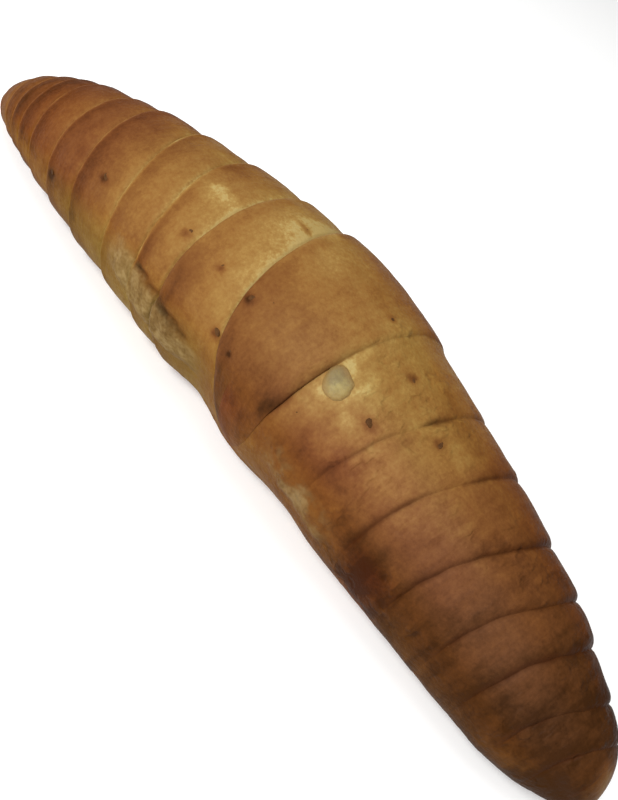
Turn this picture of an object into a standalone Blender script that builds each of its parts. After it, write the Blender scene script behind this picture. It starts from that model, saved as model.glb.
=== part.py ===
"""Rye roll: a long triangle of dough, rolled up from its base and baked.

The sheet is wound round the X axis, so each wrap is shorter than the one under it
and its two edges show as steps that run round the roll like a thread.  The last
wrap is the tongue, the point of the triangle, whose tip is pressed on under the
roll.  A place on the sheet is given by its turns before that tip and by its depth
into the wrap, from 0 at the wrap's own edge to 1 where the next wrap covers it.

Metres, +Z up.  The roll lies along X on its flat underside, and the origin is the
middle of that underside.
"""
import math
import random

import bmesh
import bpy
from mathutils import Matrix, Vector
from mathutils.bvhtree import BVHTree

MM = 0.001

# The smooth body under the wraps: a spindle with blunt ends and a fuller lower half.
HALF_LENGTH = 95.0 * MM
HALF_WIDTH = 21.0 * MM
HALF_HEIGHT = 19.4 * MM
LEFT_TAPER = (0.589, 1.46)
RIGHT_TAPER = (0.608, 1.54)
END_POWER = 9.5
LOWER_FULLNESS = 0.86
BOW = 4.5 * MM
END_LIFT = 2.4 * MM
FLAT_DEPTH = 1.9 * MM

# The dough's two edges: how far each lies from the middle of the sheet, wrap by
# wrap, where it passes the front of the roll and where it passes the back.
FRONT_TURN = 0.15
BACK_TURN = 0.50
LEFT_FRONT = [7.1, 23.5, 31.8, 42.1, 54.6, 64.2, 72.4, 78.0, 82.0, 86.0, 91.0, 94.0]
LEFT_BACK = [15.3, 25.6, 39.0, 51.0, 61.2, 68.3, 75.8, 79.7, 83.6, 88.5, 92.6, 94.4]
RIGHT_FRONT = [6.7, 21.0, 32.6, 43.8, 54.6, 63.5, 71.9, 78.2, 81.6, 86.0, 91.0, 94.0]
RIGHT_BACK = [12.3, 28.4, 40.2, 52.4, 62.1, 70.0, 77.0, 79.8, 83.7, 88.6, 92.6, 94.4]
LAST_TURN = 12.4
LAST_EDGE = 94.9

# The sheet was wound a little off the middle, and its point leans the same way.
TONGUE_TIP_ANGLE = math.radians(228.0)
SIDEWAYS = 7.2 * MM
TONGUE_LEAN = 1.0 * MM
TONGUE_LEAN_TURNS = 0.28

# The two dents where the tip was pressed down: each one's place along and round, its
# reach along and round, and its depth.
DENTS = [
    (-3.6 * MM, math.radians(205.0), 8.3 * MM, math.radians(32.0), 3.1 * MM),
    (21.6 * MM, math.radians(215.0), 9.5 * MM, math.radians(30.0), 1.0 * MM),
]

# The step at each wrap's edge.
STEP_HEIGHT = 1.25 * MM
TONGUE_STEP_HEIGHT = 1.7 * MM
END_STEP_HEIGHT = 0.5 * MM
LIP_RADIUS = 1.8 * MM
LIP_SHARE = 0.3
FALL = 0.6
FALL_POWER = 1.5
CREASE_POWER = 9.0
CREASE_FADE_TURNS = 0.14

# How finely the sheet is divided.
COLUMNS_PER_TURN = 25
ROW_DEPTHS = [0.0, 0.06, 0.16, 0.40, 0.72, 0.92, 1.0]
WELD = 0.02 * MM

# The pale grain of coarse salt beside the tongue: its place along and round, its size.
SALT_ALONG = 19.4 * MM
SALT_ROUND = math.radians(132.0)
SALT_SIZE = (6.2 * MM, 5.6 * MM, 3.0 * MM)
SALT_SINK = 0.2 * MM

# Bran flecks in the crust, as along, round in degrees, length and width.
FRONT_FLECKS = [
    (-57.4, 183, 1.8, 1.1),
    (-42.8, 153, 2.0, 1.3),
    (-19.4, 141, 1.8, 1.2),
    (-9.6, 78, 2.4, 1.5),
    (-1.0, 142, 3.0, 1.7),
    (-1.5, 165, 2.0, 1.3),
    (3.1, 165, 1.5, 1.0),
    (24.8, 99, 1.5, 1.0),
    (27.3, 133, 2.4, 1.7),
    (33.0, 100, 2.2, 1.2),
    (36.0, 107, 2.8, 1.5),
]
BACK_FLECKS = 12
BACK_FLECK_REACH = 70.0 * MM
BACK_FROM = math.radians(-30.0)
BACK_TO = math.radians(60.0)
FLECK_LENGTHS = (1.5 * MM, 2.6 * MM)
FLECK_SLIMNESS = 0.6
FLECK_THICKNESS = 0.9 * MM
FLECK_SINK = 0.15 * MM
FLECK_SIDES = 6
FLECK_RINGS = 4
SEED = 12

CRUST_COLOUR = (0.30, 0.15, 0.055, 1.0)
CRUST_ROUGHNESS = 0.55


def edge_knots(front_edge, back_edge):
    """A dough edge as pairs of turns before the tip and distance from the middle."""
    knots = [(0.0, 0.0)]
    for turn, (front, back) in enumerate(zip(front_edge, back_edge)):
        knots.append((turn + FRONT_TURN, front * MM))
        knots.append((turn + BACK_TURN, back * MM))
    knots.append((LAST_TURN, LAST_EDGE * MM))
    return knots


def knot_slopes(knots):
    """Slopes at the knots that keep the curve between them from overshooting."""
    rises = [(b[1] - a[1]) / (b[0] - a[0]) for a, b in zip(knots, knots[1:])]
    inner = []
    for before, after in zip(rises, rises[1:]):
        inner.append(2.0 * before * after / (before + after) if before * after > 0.0 else 0.0)
    return [rises[0]] + inner + [rises[-1]]


LEFT = -1.0
RIGHT = 1.0
EDGE_KNOTS = {LEFT: edge_knots(LEFT_FRONT, LEFT_BACK), RIGHT: edge_knots(RIGHT_FRONT, RIGHT_BACK)}
EDGE_SLOPES = {side: knot_slopes(knots) for side, knots in EDGE_KNOTS.items()}


def edge_distance(side, turns):
    """Distance of the dough's edge from the middle of the sheet, on one side."""
    knots = EDGE_KNOTS[side]
    slopes = EDGE_SLOPES[side]
    last = len(knots) - 2
    index = next((i for i in range(last) if turns < knots[i + 1][0]), last)
    (t0, y0), (t1, y1) = knots[index], knots[index + 1]
    span = t1 - t0
    u = min(max((turns - t0) / span, 0.0), 1.0)
    rise = u * u * (3.0 - 2.0 * u)
    start = u * (1.0 - u) ** 2 * slopes[index]
    end = u * u * (u - 1.0) * slopes[index + 1]
    return y0 + (y1 - y0) * rise + span * (start + end)


def smooth(value, start, end):
    """0 before start, 1 after end and an easy curve between them."""
    u = min(max((value - start) / (end - start), 0.0), 1.0)
    return u * u * (3.0 - 2.0 * u)


def middle_line(turns):
    """Where the middle of the sheet lies along the roll."""
    from_tip = min(turns, abs(1.0 - turns)) if turns < 1.0 else TONGUE_LEAN_TURNS
    return SIDEWAYS + TONGUE_LEAN * (1.0 - smooth(from_tip, 0.0, TONGUE_LEAN_TURNS))


def edge_line(side, turns):
    """Where the dough's edge lies along the roll, on one side."""
    distance = edge_distance(side, turns)
    off_middle = SIDEWAYS * (1.0 - (distance / HALF_LENGTH) ** 2)
    lean = TONGUE_LEAN * (1.0 - smooth(turns, 0.0, TONGUE_LEAN_TURNS))
    return side * distance + off_middle + lean


def step_height(turns):
    """How far a wrap stands up from the one under it, at its edge."""
    if turns < 1.0:
        pressed = 0.35 + 0.65 * smooth(turns, 0.0, 0.3)
        return pressed * (TONGUE_STEP_HEIGHT + (STEP_HEIGHT - TONGUE_STEP_HEIGHT) * turns)
    to_end = smooth(turns, 4.0, LAST_TURN)
    return STEP_HEIGHT + (END_STEP_HEIGHT - STEP_HEIGHT) * to_end


def crown(depth):
    """A wrap's height as a share of its step, falling slowly to the next wrap."""
    return 1.0 - FALL * depth ** FALL_POWER


def crease_height(turns):
    """Height at a wrap's own edge.  Towards the tongue's tip the crease fades out."""
    if turns > LAST_TURN - 1.0:
        return 0.0
    faded = 1.0 - smooth(turns, 0.0, CREASE_FADE_TURNS)
    return faded * step_height(turns + 1.0) * (1.0 - FALL)


def relief(turns, depth, width):
    """Height of the dough over the smooth body."""
    lip_radius = min(LIP_RADIUS, LIP_SHARE * width)
    lip = 1.0
    if lip_radius > 0.0:
        lip = math.sqrt(1.0 - (1.0 - min(depth * width / lip_radius, 1.0)) ** 2)
    own = crease_height(turns)
    height = own + (step_height(turns) * crown(depth if turns > 1.0 else 0.0) - own) * lip
    if turns > 1.0:
        under_next = depth ** CREASE_POWER
        height += (crease_height(turns - 1.0) - height) * under_next
    return height


def body_share(x):
    """Thickness of the body at a place along it, as a share of the middle's."""
    taper, power = LEFT_TAPER if x < 0.0 else RIGHT_TAPER
    along = min(abs(x) / HALF_LENGTH, 1.0)
    rounding = math.sqrt(max(1.0 - along ** END_POWER, 0.0))
    return (1.0 - taper * along ** power) * rounding


def section_centre(x):
    """Where the middle of the section lies: the bow to the front, and the height."""
    bow = -BOW * (x / HALF_LENGTH) ** 2
    return bow, (HALF_HEIGHT - END_LIFT) * body_share(x) + END_LIFT


def dent_depth(x, angle):
    """How deep the dents are at a place along the roll and an angle round it."""
    depth = 0.0
    for along, round_angle, reach, spread, deepest in DENTS:
        away = (x - along) / reach
        turned = math.remainder(angle - round_angle, math.tau) / spread
        depth += deepest * math.exp(-away * away - turned * turned)
    return depth


def roll_point(x, angle, height):
    """The point of the roll at a place along it, an angle round it and a height."""
    share = body_share(x)
    height = height - dent_depth(x, angle)
    across, up = math.cos(angle), math.sin(angle)
    if up < 0.0:
        across = math.copysign(abs(across) ** LOWER_FULLNESS, across)
        up = -abs(up) ** LOWER_FULLNESS
    bow, core_height = section_centre(x)
    y = bow + (HALF_WIDTH * share + height) * across
    z = core_height + (HALF_HEIGHT * share + height) * up
    return Vector((x, y, z))


def wrap_half(side):
    """One half of the dough sheet, wound up: a plain grid whose points are moved."""
    columns = round(LAST_TURN * COLUMNS_PER_TURN)
    rows = len(ROW_DEPTHS) - 1
    half = bmesh.new()
    bmesh.ops.create_grid(half, x_segments=columns, y_segments=rows, size=0.5)
    for vertex in half.verts:
        column = round((vertex.co.x + 0.5) * columns)
        row = round((vertex.co.y + 0.5) * rows)
        turns = column / COLUMNS_PER_TURN
        depth = ROW_DEPTHS[row]
        own = edge_line(side, turns)
        inner = edge_line(side, turns - 1.0) if turns > 1.0 else middle_line(turns)
        height = relief(turns, depth, abs(own - inner))
        angle = TONGUE_TIP_ANGLE - turns * math.tau
        vertex.co = roll_point(own + (inner - own) * depth, angle, height)
    return half


def close_ends(roll):
    """Close the small round gap that the winding leaves at each tip."""
    gaps = [edge for edge in roll.edges if edge.is_boundary]
    caps = bmesh.ops.holes_fill(roll, edges=gaps, sides=0)["faces"]
    bmesh.ops.poke(roll, faces=caps)


def make_roll_mesh():
    """Both halves of the sheet, welded along every wrap's edge, flat underneath."""
    roll = bmesh.new()
    for side in (LEFT, RIGHT):
        half = wrap_half(side)
        mesh = bpy.data.meshes.new("half")
        half.to_mesh(mesh)
        half.free()
        roll.from_mesh(mesh)
        bpy.data.meshes.remove(mesh)
    bmesh.ops.remove_doubles(roll, verts=roll.verts, dist=WELD)
    close_ends(roll)
    table = min(vertex.co.z for vertex in roll.verts) + FLAT_DEPTH
    for vertex in roll.verts:
        vertex.co.z = max(vertex.co.z, table)
    bmesh.ops.triangulate(roll, faces=roll.faces)
    bmesh.ops.recalc_face_normals(roll, faces=roll.faces)
    return roll


def crust_seat(surface, x, angle, turn):
    """A frame on the crust: its Z looks out of the crust and its X along the grain."""
    bow, core_height = section_centre(x)
    core = Vector((x, bow, core_height))
    outward = (roll_point(x, angle, 0.0) - core).normalized()
    point, normal, _, _ = surface.ray_cast(core + outward * HALF_LENGTH, -outward)
    along = Matrix.Rotation(turn, 3, normal) @ normal.orthogonal().normalized()
    seat = Matrix((along, normal.cross(along), normal)).transposed().to_4x4()
    seat.translation = point
    return seat


def add_grain(name, seat, size, sink, sides, rings):
    """A rounded grain of the given size, pressed into the crust."""
    grain = bmesh.new()
    bmesh.ops.create_uvsphere(grain, u_segments=sides, v_segments=rings, radius=0.5)
    bmesh.ops.scale(grain, verts=grain.verts, vec=Vector(size))
    bmesh.ops.translate(grain, verts=grain.verts, vec=Vector((0.0, 0.0, -sink)))
    bmesh.ops.transform(grain, matrix=seat, verts=grain.verts)
    mesh = bpy.data.meshes.new(name)
    grain.to_mesh(mesh)
    grain.free()
    return bpy.data.objects.new(name, mesh)


def add_grains(surface):
    """The salt grain and the flecks, those on the front first."""
    chance = random.Random(SEED)
    seat = crust_seat(surface, SALT_ALONG, SALT_ROUND, 0.0)
    grains = [add_grain("salt", seat, SALT_SIZE, SALT_SINK, 10, 6)]
    flecks = [(x * MM, math.radians(a), l * MM, w * MM) for x, a, l, w in FRONT_FLECKS]
    for index in range(BACK_FLECKS):
        even = (index + 0.5) / BACK_FLECKS
        along = BACK_FLECK_REACH * (2.0 * even - 1.0)
        round_angle = chance.uniform(BACK_FROM, BACK_TO)
        length = chance.uniform(*FLECK_LENGTHS)
        flecks.append((along, round_angle, length, length * FLECK_SLIMNESS))
    for along, round_angle, length, width in flecks:
        seat = crust_seat(surface, along, round_angle, chance.uniform(0.0, math.pi))
        size = (length, width, FLECK_THICKNESS)
        grains.append(add_grain("fleck", seat, size, FLECK_SINK, FLECK_SIDES, FLECK_RINGS))
    return grains


def crust_material():
    material = bpy.data.materials.new("crust")
    material.use_nodes = True
    shader = material.node_tree.nodes["Principled BSDF"]
    shader.inputs["Base Color"].default_value = CRUST_COLOUR
    shader.inputs["Roughness"].default_value = CRUST_ROUGHNESS
    shader.inputs["Metallic"].default_value = 0.0
    return material


def set_down(mesh):
    """Move the roll so that the origin is the middle of its underside."""
    points = [vertex.co for vertex in mesh.vertices]
    low = Vector([min(point[axis] for point in points) for axis in range(3)])
    high = Vector([max(point[axis] for point in points) for axis in range(3)])
    middle = 0.5 * (low + high)
    mesh.transform(Matrix.Translation(Vector((-middle.x, -middle.y, -low.z))))


def build_roll():
    for old in list(bpy.data.objects):
        bpy.data.objects.remove(old, do_unlink=True)
    parts = bpy.data.collections.new("rye roll")
    grains = bpy.data.collections.new("grains")
    bpy.context.scene.collection.children.link(parts)
    bpy.context.scene.collection.children.link(grains)

    wound = make_roll_mesh()
    surface = BVHTree.FromBMesh(wound)
    mesh = bpy.data.meshes.new("roll")
    wound.to_mesh(mesh)
    wound.free()
    mesh.materials.append(crust_material())
    roll = bpy.data.objects.new("roll", mesh)
    parts.objects.link(roll)

    helpers = add_grains(surface)
    for helper in helpers:
        grains.objects.link(helper)
    union = roll.modifiers.new("grains", "BOOLEAN")
    union.operation = "UNION"
    union.operand_type = "COLLECTION"
    union.collection = grains
    union.solver = "EXACT"
    depsgraph = bpy.context.evaluated_depsgraph_get()
    fused = bpy.data.meshes.new_from_object(roll.evaluated_get(depsgraph))
    roll.modifiers.clear()
    roll.data = fused
    for helper in helpers:
        bpy.data.objects.remove(helper, do_unlink=True)
    bpy.data.collections.remove(grains)
    set_down(fused)
    fused.shade_smooth()


build_roll()
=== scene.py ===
import math
import random

import bmesh
import bpy
from mathutils import Matrix, Vector
from mathutils import noise as rough
from mathutils.bvhtree import BVHTree


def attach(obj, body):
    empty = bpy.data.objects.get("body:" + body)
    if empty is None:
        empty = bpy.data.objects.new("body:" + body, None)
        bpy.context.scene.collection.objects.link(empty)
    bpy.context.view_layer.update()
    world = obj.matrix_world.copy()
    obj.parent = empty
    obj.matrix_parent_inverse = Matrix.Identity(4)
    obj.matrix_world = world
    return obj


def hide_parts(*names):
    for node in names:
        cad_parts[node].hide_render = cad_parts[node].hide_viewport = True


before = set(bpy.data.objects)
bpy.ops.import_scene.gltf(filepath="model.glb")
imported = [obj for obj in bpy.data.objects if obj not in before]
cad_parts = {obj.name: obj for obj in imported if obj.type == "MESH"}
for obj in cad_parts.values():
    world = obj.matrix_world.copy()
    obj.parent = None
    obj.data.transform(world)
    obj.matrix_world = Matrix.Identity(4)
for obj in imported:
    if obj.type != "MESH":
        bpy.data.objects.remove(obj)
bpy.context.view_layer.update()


# ---------------------------------------------------------------------------
# The dough.  A long triangle of rye and wheat dough is rolled up from its base,
# so each wrap is shorter than the one under it and the two edges of the sheet
# run round the roll as steps.  The last wrap is the tongue, pressed on in front.
# ---------------------------------------------------------------------------
MM = 0.001

ROLL_SIZES = {
    "Turns": 12.4,
    "Half length": 95.0 * MM,
    "Half width": 21.0 * MM,
    "Half height": 19.4 * MM,
    "Left taper": 0.589,
    "Left taper power": 1.46,
    "Right taper": 0.608,
    "Right taper power": 1.54,
    "Left end power": 9.5,
    "Right end power": 34.0,
    "Right end short": 4.6 * MM,
    "Right end cut": 0.37,
    "Right end waist": 0.14,
    "Lower fullness": 0.86,
    "Bow": 4.5 * MM,
    "End lift": 2.4 * MM,
    "Tray height": 0.63 * MM,
    "Tip angle": math.radians(228.0),
    "Sideways": 7.2 * MM,
    "Tongue lean": 1.0 * MM,
    "Lean turns": 0.28,
    "Step": 1.05 * MM,
    "Right step": 0.90 * MM,
    "Tongue step": 1.6 * MM,
    "End step": 0.45 * MM,
    "Right end step": 0.02 * MM,
    "Right front share": 0.5,
    "Smoothed height": 0.5 * MM,
    "Step unevenness": 0.3,
    "Lip radius": 1.8 * MM,
    "Lip share": 0.3,
    "Fall": 0.6,
    "Crease fade": 0.14,
    "Groove": 0.28 * MM,
    "Groove reach": 0.4 * MM,
    "Edge wobble": 0.50 * MM,
    "Lumps": 0.38 * MM,
    "Small lumps": 0.13 * MM,
    "Crumb": 0.65 * MM,
    "Torn ridge": 0.45 * MM,
    "Crevice": 0.45 * MM,
}
COLUMNS_PER_TURN = 120
ROWS = 32
ROW_CROWDING = 0.62
WELD = 0.012 * MM
ROLL_MIDDLE = (0.02 * MM, 0.45 * MM)

# Where the two edges of the dough pass the front and the back of the roll, wrap by
# wrap, in millimetres from the middle of the sheet.
FRONT_TURN = 0.15
BACK_TURN = 0.50
LEFT_FRONT = [7.1, 23.5, 31.8, 42.1, 54.6, 64.2, 72.4, 78.0, 82.0, 86.0, 91.0, 94.0]
LEFT_BACK = [15.3, 25.6, 39.0, 51.0, 61.2, 68.3, 75.8, 79.7, 83.6, 88.5, 92.6, 94.4]
RIGHT_FRONT = [7.2, 21.0, 32.6, 43.8, 54.6, 63.5, 71.9, 79.2, 89.5, 91.5, 93.0, 94.2]
RIGHT_BACK = [12.3, 28.4, 40.2, 52.4, 62.1, 70.0, 78.6, 88.0, 90.5, 92.3, 93.7, 94.5]
LAST_EDGE = 94.9

# Dents, as along and round (in degrees), reach along and round, and depth: the two
# where the tip was pressed down, and the pocket that opened under the tongue's edge.
DENTS = [
    (-3.6 * MM, 205.0, 8.3 * MM, 32.0, 3.1 * MM),
    (21.6 * MM, 215.0, 9.5 * MM, 30.0, 1.0 * MM),
    (11.2 * MM, 160.0, 3.2 * MM, 9.0, 0.9 * MM),
]

# The torn, crumbly strips low on the front: where they start and end along the roll,
# how far round they start, how far round they climb over their length, and half width.
TORN_STRIPS = [
    (-31.0 * MM, -5.0 * MM, 179.5, 16.5, 10.0),
    (19.0 * MM, 33.0 * MM, 184.0, 4.0, 8.0),
]


class Field:
    """A number that varies over a surface; arithmetic on it adds Math nodes."""

    def __init__(self, tree, socket):
        self.tree = tree
        self.socket = socket

    def math(self, operation, *others):
        node = self.tree.nodes.new("ShaderNodeMath")
        node.operation = operation
        for socket, value in zip(node.inputs, (self,) + others):
            connect(value, socket)
        return Field(self.tree, node.outputs[0])

    def __add__(self, other):
        return self.math("ADD", other)

    def __sub__(self, other):
        return self.math("SUBTRACT", other)

    def __rsub__(self, other):
        return self.math("MULTIPLY_ADD", -1.0, other)

    def __mul__(self, other):
        return self.math("MULTIPLY", other)

    def __truediv__(self, other):
        return self.math("DIVIDE", other)

    def __pow__(self, power):
        return self.math("POWER", power)

    __radd__ = __add__
    __rmul__ = __mul__


def connect(value, socket):
    """Link a field to a socket, or set a plain value on it."""
    if isinstance(value, Field):
        value.tree.links.new(value.socket, socket)
    else:
        socket.default_value = value


def fill_in(node, inputs):
    """Link or set a node's inputs by name."""
    for name, value in dict(inputs).items():
        connect(value, node.inputs[name])


def add_node(tree, kind, inputs=(), **settings):
    """A node with its settings, and with its inputs linked or filled in."""
    node = tree.nodes.new(kind)
    for name, value in settings.items():
        setattr(node, name, value)
    fill_in(node, inputs)
    return node


def result(tree, kind, inputs=(), output=0, **settings):
    """What a new node puts out."""
    return Field(tree, add_node(tree, kind, inputs, **settings).outputs[output])


def new_group(name, kind, outputs, inputs):
    """A node group with its named sockets, and what comes in at each of its inputs."""
    group = bpy.data.node_groups.new(name, kind)
    for in_out, sockets in (("OUTPUT", outputs), ("INPUT", inputs)):
        for socket, what in sockets.items():
            group.interface.new_socket(socket, in_out=in_out, socket_type="NodeSocket" + what)
    entry = add_node(group, "NodeGroupInput")
    return group, {socket: Field(group, entry.outputs[socket]) for socket in inputs}


def mix(share, low, high):
    """low where share is 0, high where it is 1."""
    return (high - low) * share + low


def smooth(value, start, end):
    """0 before start, 1 after end and an easy curve between them."""
    span = {"Value": value, "From Min": start, "From Max": end}
    return result(value.tree, "ShaderNodeMapRange", span, interpolation_type="SMOOTHSTEP")


def fading(value, start, end):
    """1 before start, 0 after end and an easy curve between them."""
    return 1.0 - smooth(value, start, end)


def band(value, start, end, edge):
    """1 between start and end, fading to 0 over an edge on either side."""
    return smooth(value, start - edge, start + edge) * fading(value, end - edge, end + edge)


def hump(value, middle, reach):
    """1 at the middle, falling away on either side of it."""
    return (((value - middle) / reach) ** 2.0 * -1.0).math("EXPONENT")


def vector(x, y, z):
    return result(x.tree, "ShaderNodeCombineXYZ", {"X": x, "Y": y, "Z": z})


def noise(place, scale, detail=2.0, roughness=0.5):
    """Smooth unevenness between about -1 and 1; the scale is in waves a metre, or a turn."""
    inputs = {"Vector": place, "Scale": scale, "Detail": detail, "Roughness": roughness}
    return result(place.tree, "ShaderNodeTexNoise", inputs) * 2.0 - 1.0


def drawn_curve(value, knots):
    """A value read from a smooth curve through the knots, all within 0 and 1."""
    node = add_node(value.tree, "ShaderNodeFloatCurve", {"Value": value})
    points = node.mapping.curves[0].points
    points[0].location = knots[0]
    points[-1].location = knots[-1]
    for knot in knots[1:-1]:
        points.new(*knot)
    for point in points:
        point.handle_type = "AUTO_CLAMPED"
    node.mapping.update()
    return Field(value.tree, node.outputs[0])


def dough_edge(turns, size, front_edge, back_edge):
    """How far one edge of the dough lies from the middle, by turns before the tip."""
    knots = [(0.0, 0.0)]
    for turn, (front, back) in enumerate(zip(front_edge, back_edge)):
        knots.append((turn + FRONT_TURN, front * MM))
        knots.append((turn + BACK_TURN, back * MM))
    knots.append((ROLL_SIZES["Turns"], LAST_EDGE * MM))
    shares = [(turn / ROLL_SIZES["Turns"], far / ROLL_SIZES["Half length"]) for turn, far in knots]
    return drawn_curve(turns / size["Turns"], shares) * size["Half length"]


# The edges wander a little between the tongue's tip and the roll's ends, in turns before
# the tip: in long waves, and in short ones that are a share as high.  The two halves
# take their waves from places this far apart.
WANDER_STARTS = (0.05, 0.4)
WANDER_ENDS = (8.0, 12.0)
LONG_WAVES = 4.5
SHORT_WAVES = 17.0
SHORT_WAVE_SHARE = 0.6
WANDER_HALVES_APART = 5.0


def edge_line(side, turns, size):
    """Where an edge of the dough lies along the roll, wandering a little."""
    left = dough_edge(turns, size, LEFT_FRONT, LEFT_BACK)
    right = dough_edge(turns, size, RIGHT_FRONT, RIGHT_BACK)
    distance = mix(side.math("GREATER_THAN", 0.0), left, right)
    off_middle = size["Sideways"] * (1.0 - (distance / size["Half length"]) ** 2.0)
    lean = size["Tongue lean"] * fading(turns, 0.0, size["Lean turns"])
    at_turn = vector(turns, side * WANDER_HALVES_APART, 0.0)
    wander = noise(at_turn, LONG_WAVES) + noise(at_turn, SHORT_WAVES) * SHORT_WAVE_SHARE
    free = smooth(turns, *WANDER_STARTS) * fading(turns, *WANDER_ENDS)
    return side * distance + off_middle + lean + wander * free * size["Edge wobble"]


def middle_line(turns, size):
    """Where the middle of the tongue lies along the roll."""
    from_tip = turns.math("MINIMUM", (1.0 - turns).math("ABSOLUTE"))
    return size["Sideways"] + size["Tongue lean"] * fading(from_tip, 0.0, size["Lean turns"])


# Where the steps are lower, in turns before the tongue's tip: at the pressed tip, on the
# right half's first wraps, and towards both ends.
TIP_PRESSED = (0.0, 0.3)
TIP_STEP_SHARE = 0.35
FIRST_RIGHT_WRAPS = (2.9, 3.2)
FIRST_RIGHT_SHARE = 0.4
LEFT_FLATTENS_FROM = 4.0
RIGHT_FLATTENS = (6.0, 8.6)


def step_height(side, turns, size):
    """How far a wrap stands up from the one under it, at its edge."""
    right = side.math("GREATER_THAN", 0.0)
    pressed = mix(smooth(turns, *TIP_PRESSED), TIP_STEP_SHARE, 1.0)
    first_right = size["Right step"] * mix(smooth(turns, *FIRST_RIGHT_WRAPS), FIRST_RIGHT_SHARE, 1.0)
    step = mix(right, size["Step"], first_right)
    tongue = pressed * mix(turns, size["Tongue step"], size["Step"])
    at_end = mix(right, smooth(turns, LEFT_FLATTENS_FROM, size["Turns"]), smooth(turns, *RIGHT_FLATTENS))
    wraps = mix(at_end, step, mix(right, size["End step"], size["Right end step"]))
    return mix(turns.math("GREATER_THAN", 1.0), tongue, wraps)


# Where the tongue's right edge has merged with the crust under it, in turns before the
# tip, and how far: round its tip, and over the top of the roll.
MERGED_TIP = (0.15, 0.20)
MERGED_TIP_SHARE = 0.97
MERGED_TOP = (0.31, 0.68, 0.035)
MERGED_TOP_SHARE = 0.75


def crease_height(side, turns, size):
    """Height at a wrap's own edge, down in the crease, or up where the crease has closed."""
    faded = fading(turns, 0.0, size["Crease fade"])
    open_height = faded * step_height(side, turns + 1.0, size) * (1.0 - size["Fall"])
    merged = fading(turns, *MERGED_TIP) * MERGED_TIP_SHARE + band(turns, *MERGED_TOP) * MERGED_TOP_SHARE
    merged = side.math("GREATER_THAN", 0.0) * merged
    return mix(merged, open_height, step_height(side, turns, size))


# The waves in a step's height, in waves a turn, and where each half takes them from; how
# a wrap falls behind its lip; and how suddenly it dives under the next one.
STEP_WAVES = 2.6
STEP_HALVES_APART = 3.0
STEP_WAVES_SHIFT = 9.0
FALL_POWER = 1.5
DIVE_POWER = 9.0
SMALLEST_RADIUS = 1e-6


def relief(side, turns, depth, width, size):
    """Height of the dough over the smooth body: a round lip, then a slow fall."""
    buried = turns.math("GREATER_THAN", 1.0)
    uneven = noise(vector(turns, side * STEP_HALVES_APART, STEP_WAVES_SHIFT), STEP_WAVES)
    step = step_height(side, turns, size) * (uneven * buried * size["Step unevenness"] + 1.0)
    radius = size["Lip radius"].math("MINIMUM", width * size["Lip share"]).math("MAXIMUM", SMALLEST_RADIUS)
    climb = (depth * width / radius).math("MINIMUM", 1.0)
    lip = (1.0 - (1.0 - climb) ** 2.0).math("SQRT")
    own = crease_height(side, turns, size)
    crown = 1.0 - size["Fall"] * buried * depth ** FALL_POWER
    height = mix(lip, own, step * crown)
    return mix(buried * depth ** DIVE_POWER, height, crease_height(side, turns - 1.0, size))


# Where the steps are pressed out: in degrees round the right half's front, and by how
# far the crust faces down.
PRESSED_FRONT = (166.0, 188.0)
FACING_DOWN = (0.7, 0.97)
PRESSED_SHARE = 0.9


def smoothed_share(side, turns, depth, round_degrees, upright):
    """1 where the steps were pressed out: low on the right half's front, and underneath."""
    low_front = side.math("GREATER_THAN", 0.0) * smooth(round_degrees, *PRESSED_FRONT)
    off_tongue = 1.0 - depth * turns.math("LESS_THAN", 1.0)
    return (low_front * off_tongue).math("MAXIMUM", smooth(upright * -1.0, *FACING_DOWN)) * PRESSED_SHARE


# At the very end of the right half, the core still has this share of its height.
RIGHT_CORE_SHARE = 0.6


def body_share(along, size):
    """Thickness of the body and height of its core, as shares of the middle's."""
    far = (along / size["Half length"]).math("ABSOLUTE").math("MINIMUM", 1.0)
    right = along.math("GREATER_THAN", 0.0)
    taper = mix(right, size["Left taper"], size["Right taper"])
    power = mix(right, size["Left taper power"], size["Right taper power"])
    end_power = mix(right, size["Left end power"], size["Right end power"])
    rounding = (1.0 - far ** end_power).math("MAXIMUM", 0.0).math("SQRT")
    slender = 1.0 - taper * far ** power
    return slender * rounding, slender * mix(right, rounding, mix(rounding, RIGHT_CORE_SHARE, 1.0))


def dent_depth(along, round_degrees):
    """How deep the dents are at a place along the roll and round it."""
    depth = 0.0
    for place, angle, reach, spread, deepest in DENTS:
        away = (along - place) / reach
        turned = (round_degrees - angle).math("WRAP", 180.0, -180.0) / spread
        depth = depth + deepest * (-1.0 * (away * away + turned * turned)).math("EXPONENT")
    return depth


# How far the torn strips' borders fade and fray, along the roll and, in degrees, round
# it; and how far the crevice over the left one stays inside the strip's two ends.
STRIP_END_FADE = 3.0 * MM
STRIP_END_FRAY = 3.0 * MM
STRIP_SIDE_FADE = 2.5
STRIP_SIDE_FRAY = 3.5
CREVICE_OFFSET = -10.5
CREVICE_HALF_WIDTH = 2.2
CREVICE_INSET = (5.0 * MM, 2.0 * MM)
CREVICE_FADE = 2.0 * MM


def torn(along, round_degrees, ragged):
    """1 on the torn strips low on the front, with frayed borders, and 1 in the crevice above."""
    here = 0.0
    for start, end, first_round, climb, half_width in TORN_STRIPS:
        lengthwise = band(along + ragged * STRIP_END_FRAY, start, end, STRIP_END_FADE)
        middle = (along - start) * (climb / (end - start)) + first_round
        off_middle = round_degrees - middle + ragged * STRIP_SIDE_FRAY
        here = here + lengthwise * band(off_middle, -half_width, half_width, STRIP_SIDE_FADE)
        if start < 0.0:
            lengthwise = band(along, start + CREVICE_INSET[0], end - CREVICE_INSET[1], CREVICE_FADE)
            crevice = lengthwise * hump(off_middle, CREVICE_OFFSET, CREVICE_HALF_WIDTH)
    return here, crevice


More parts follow.
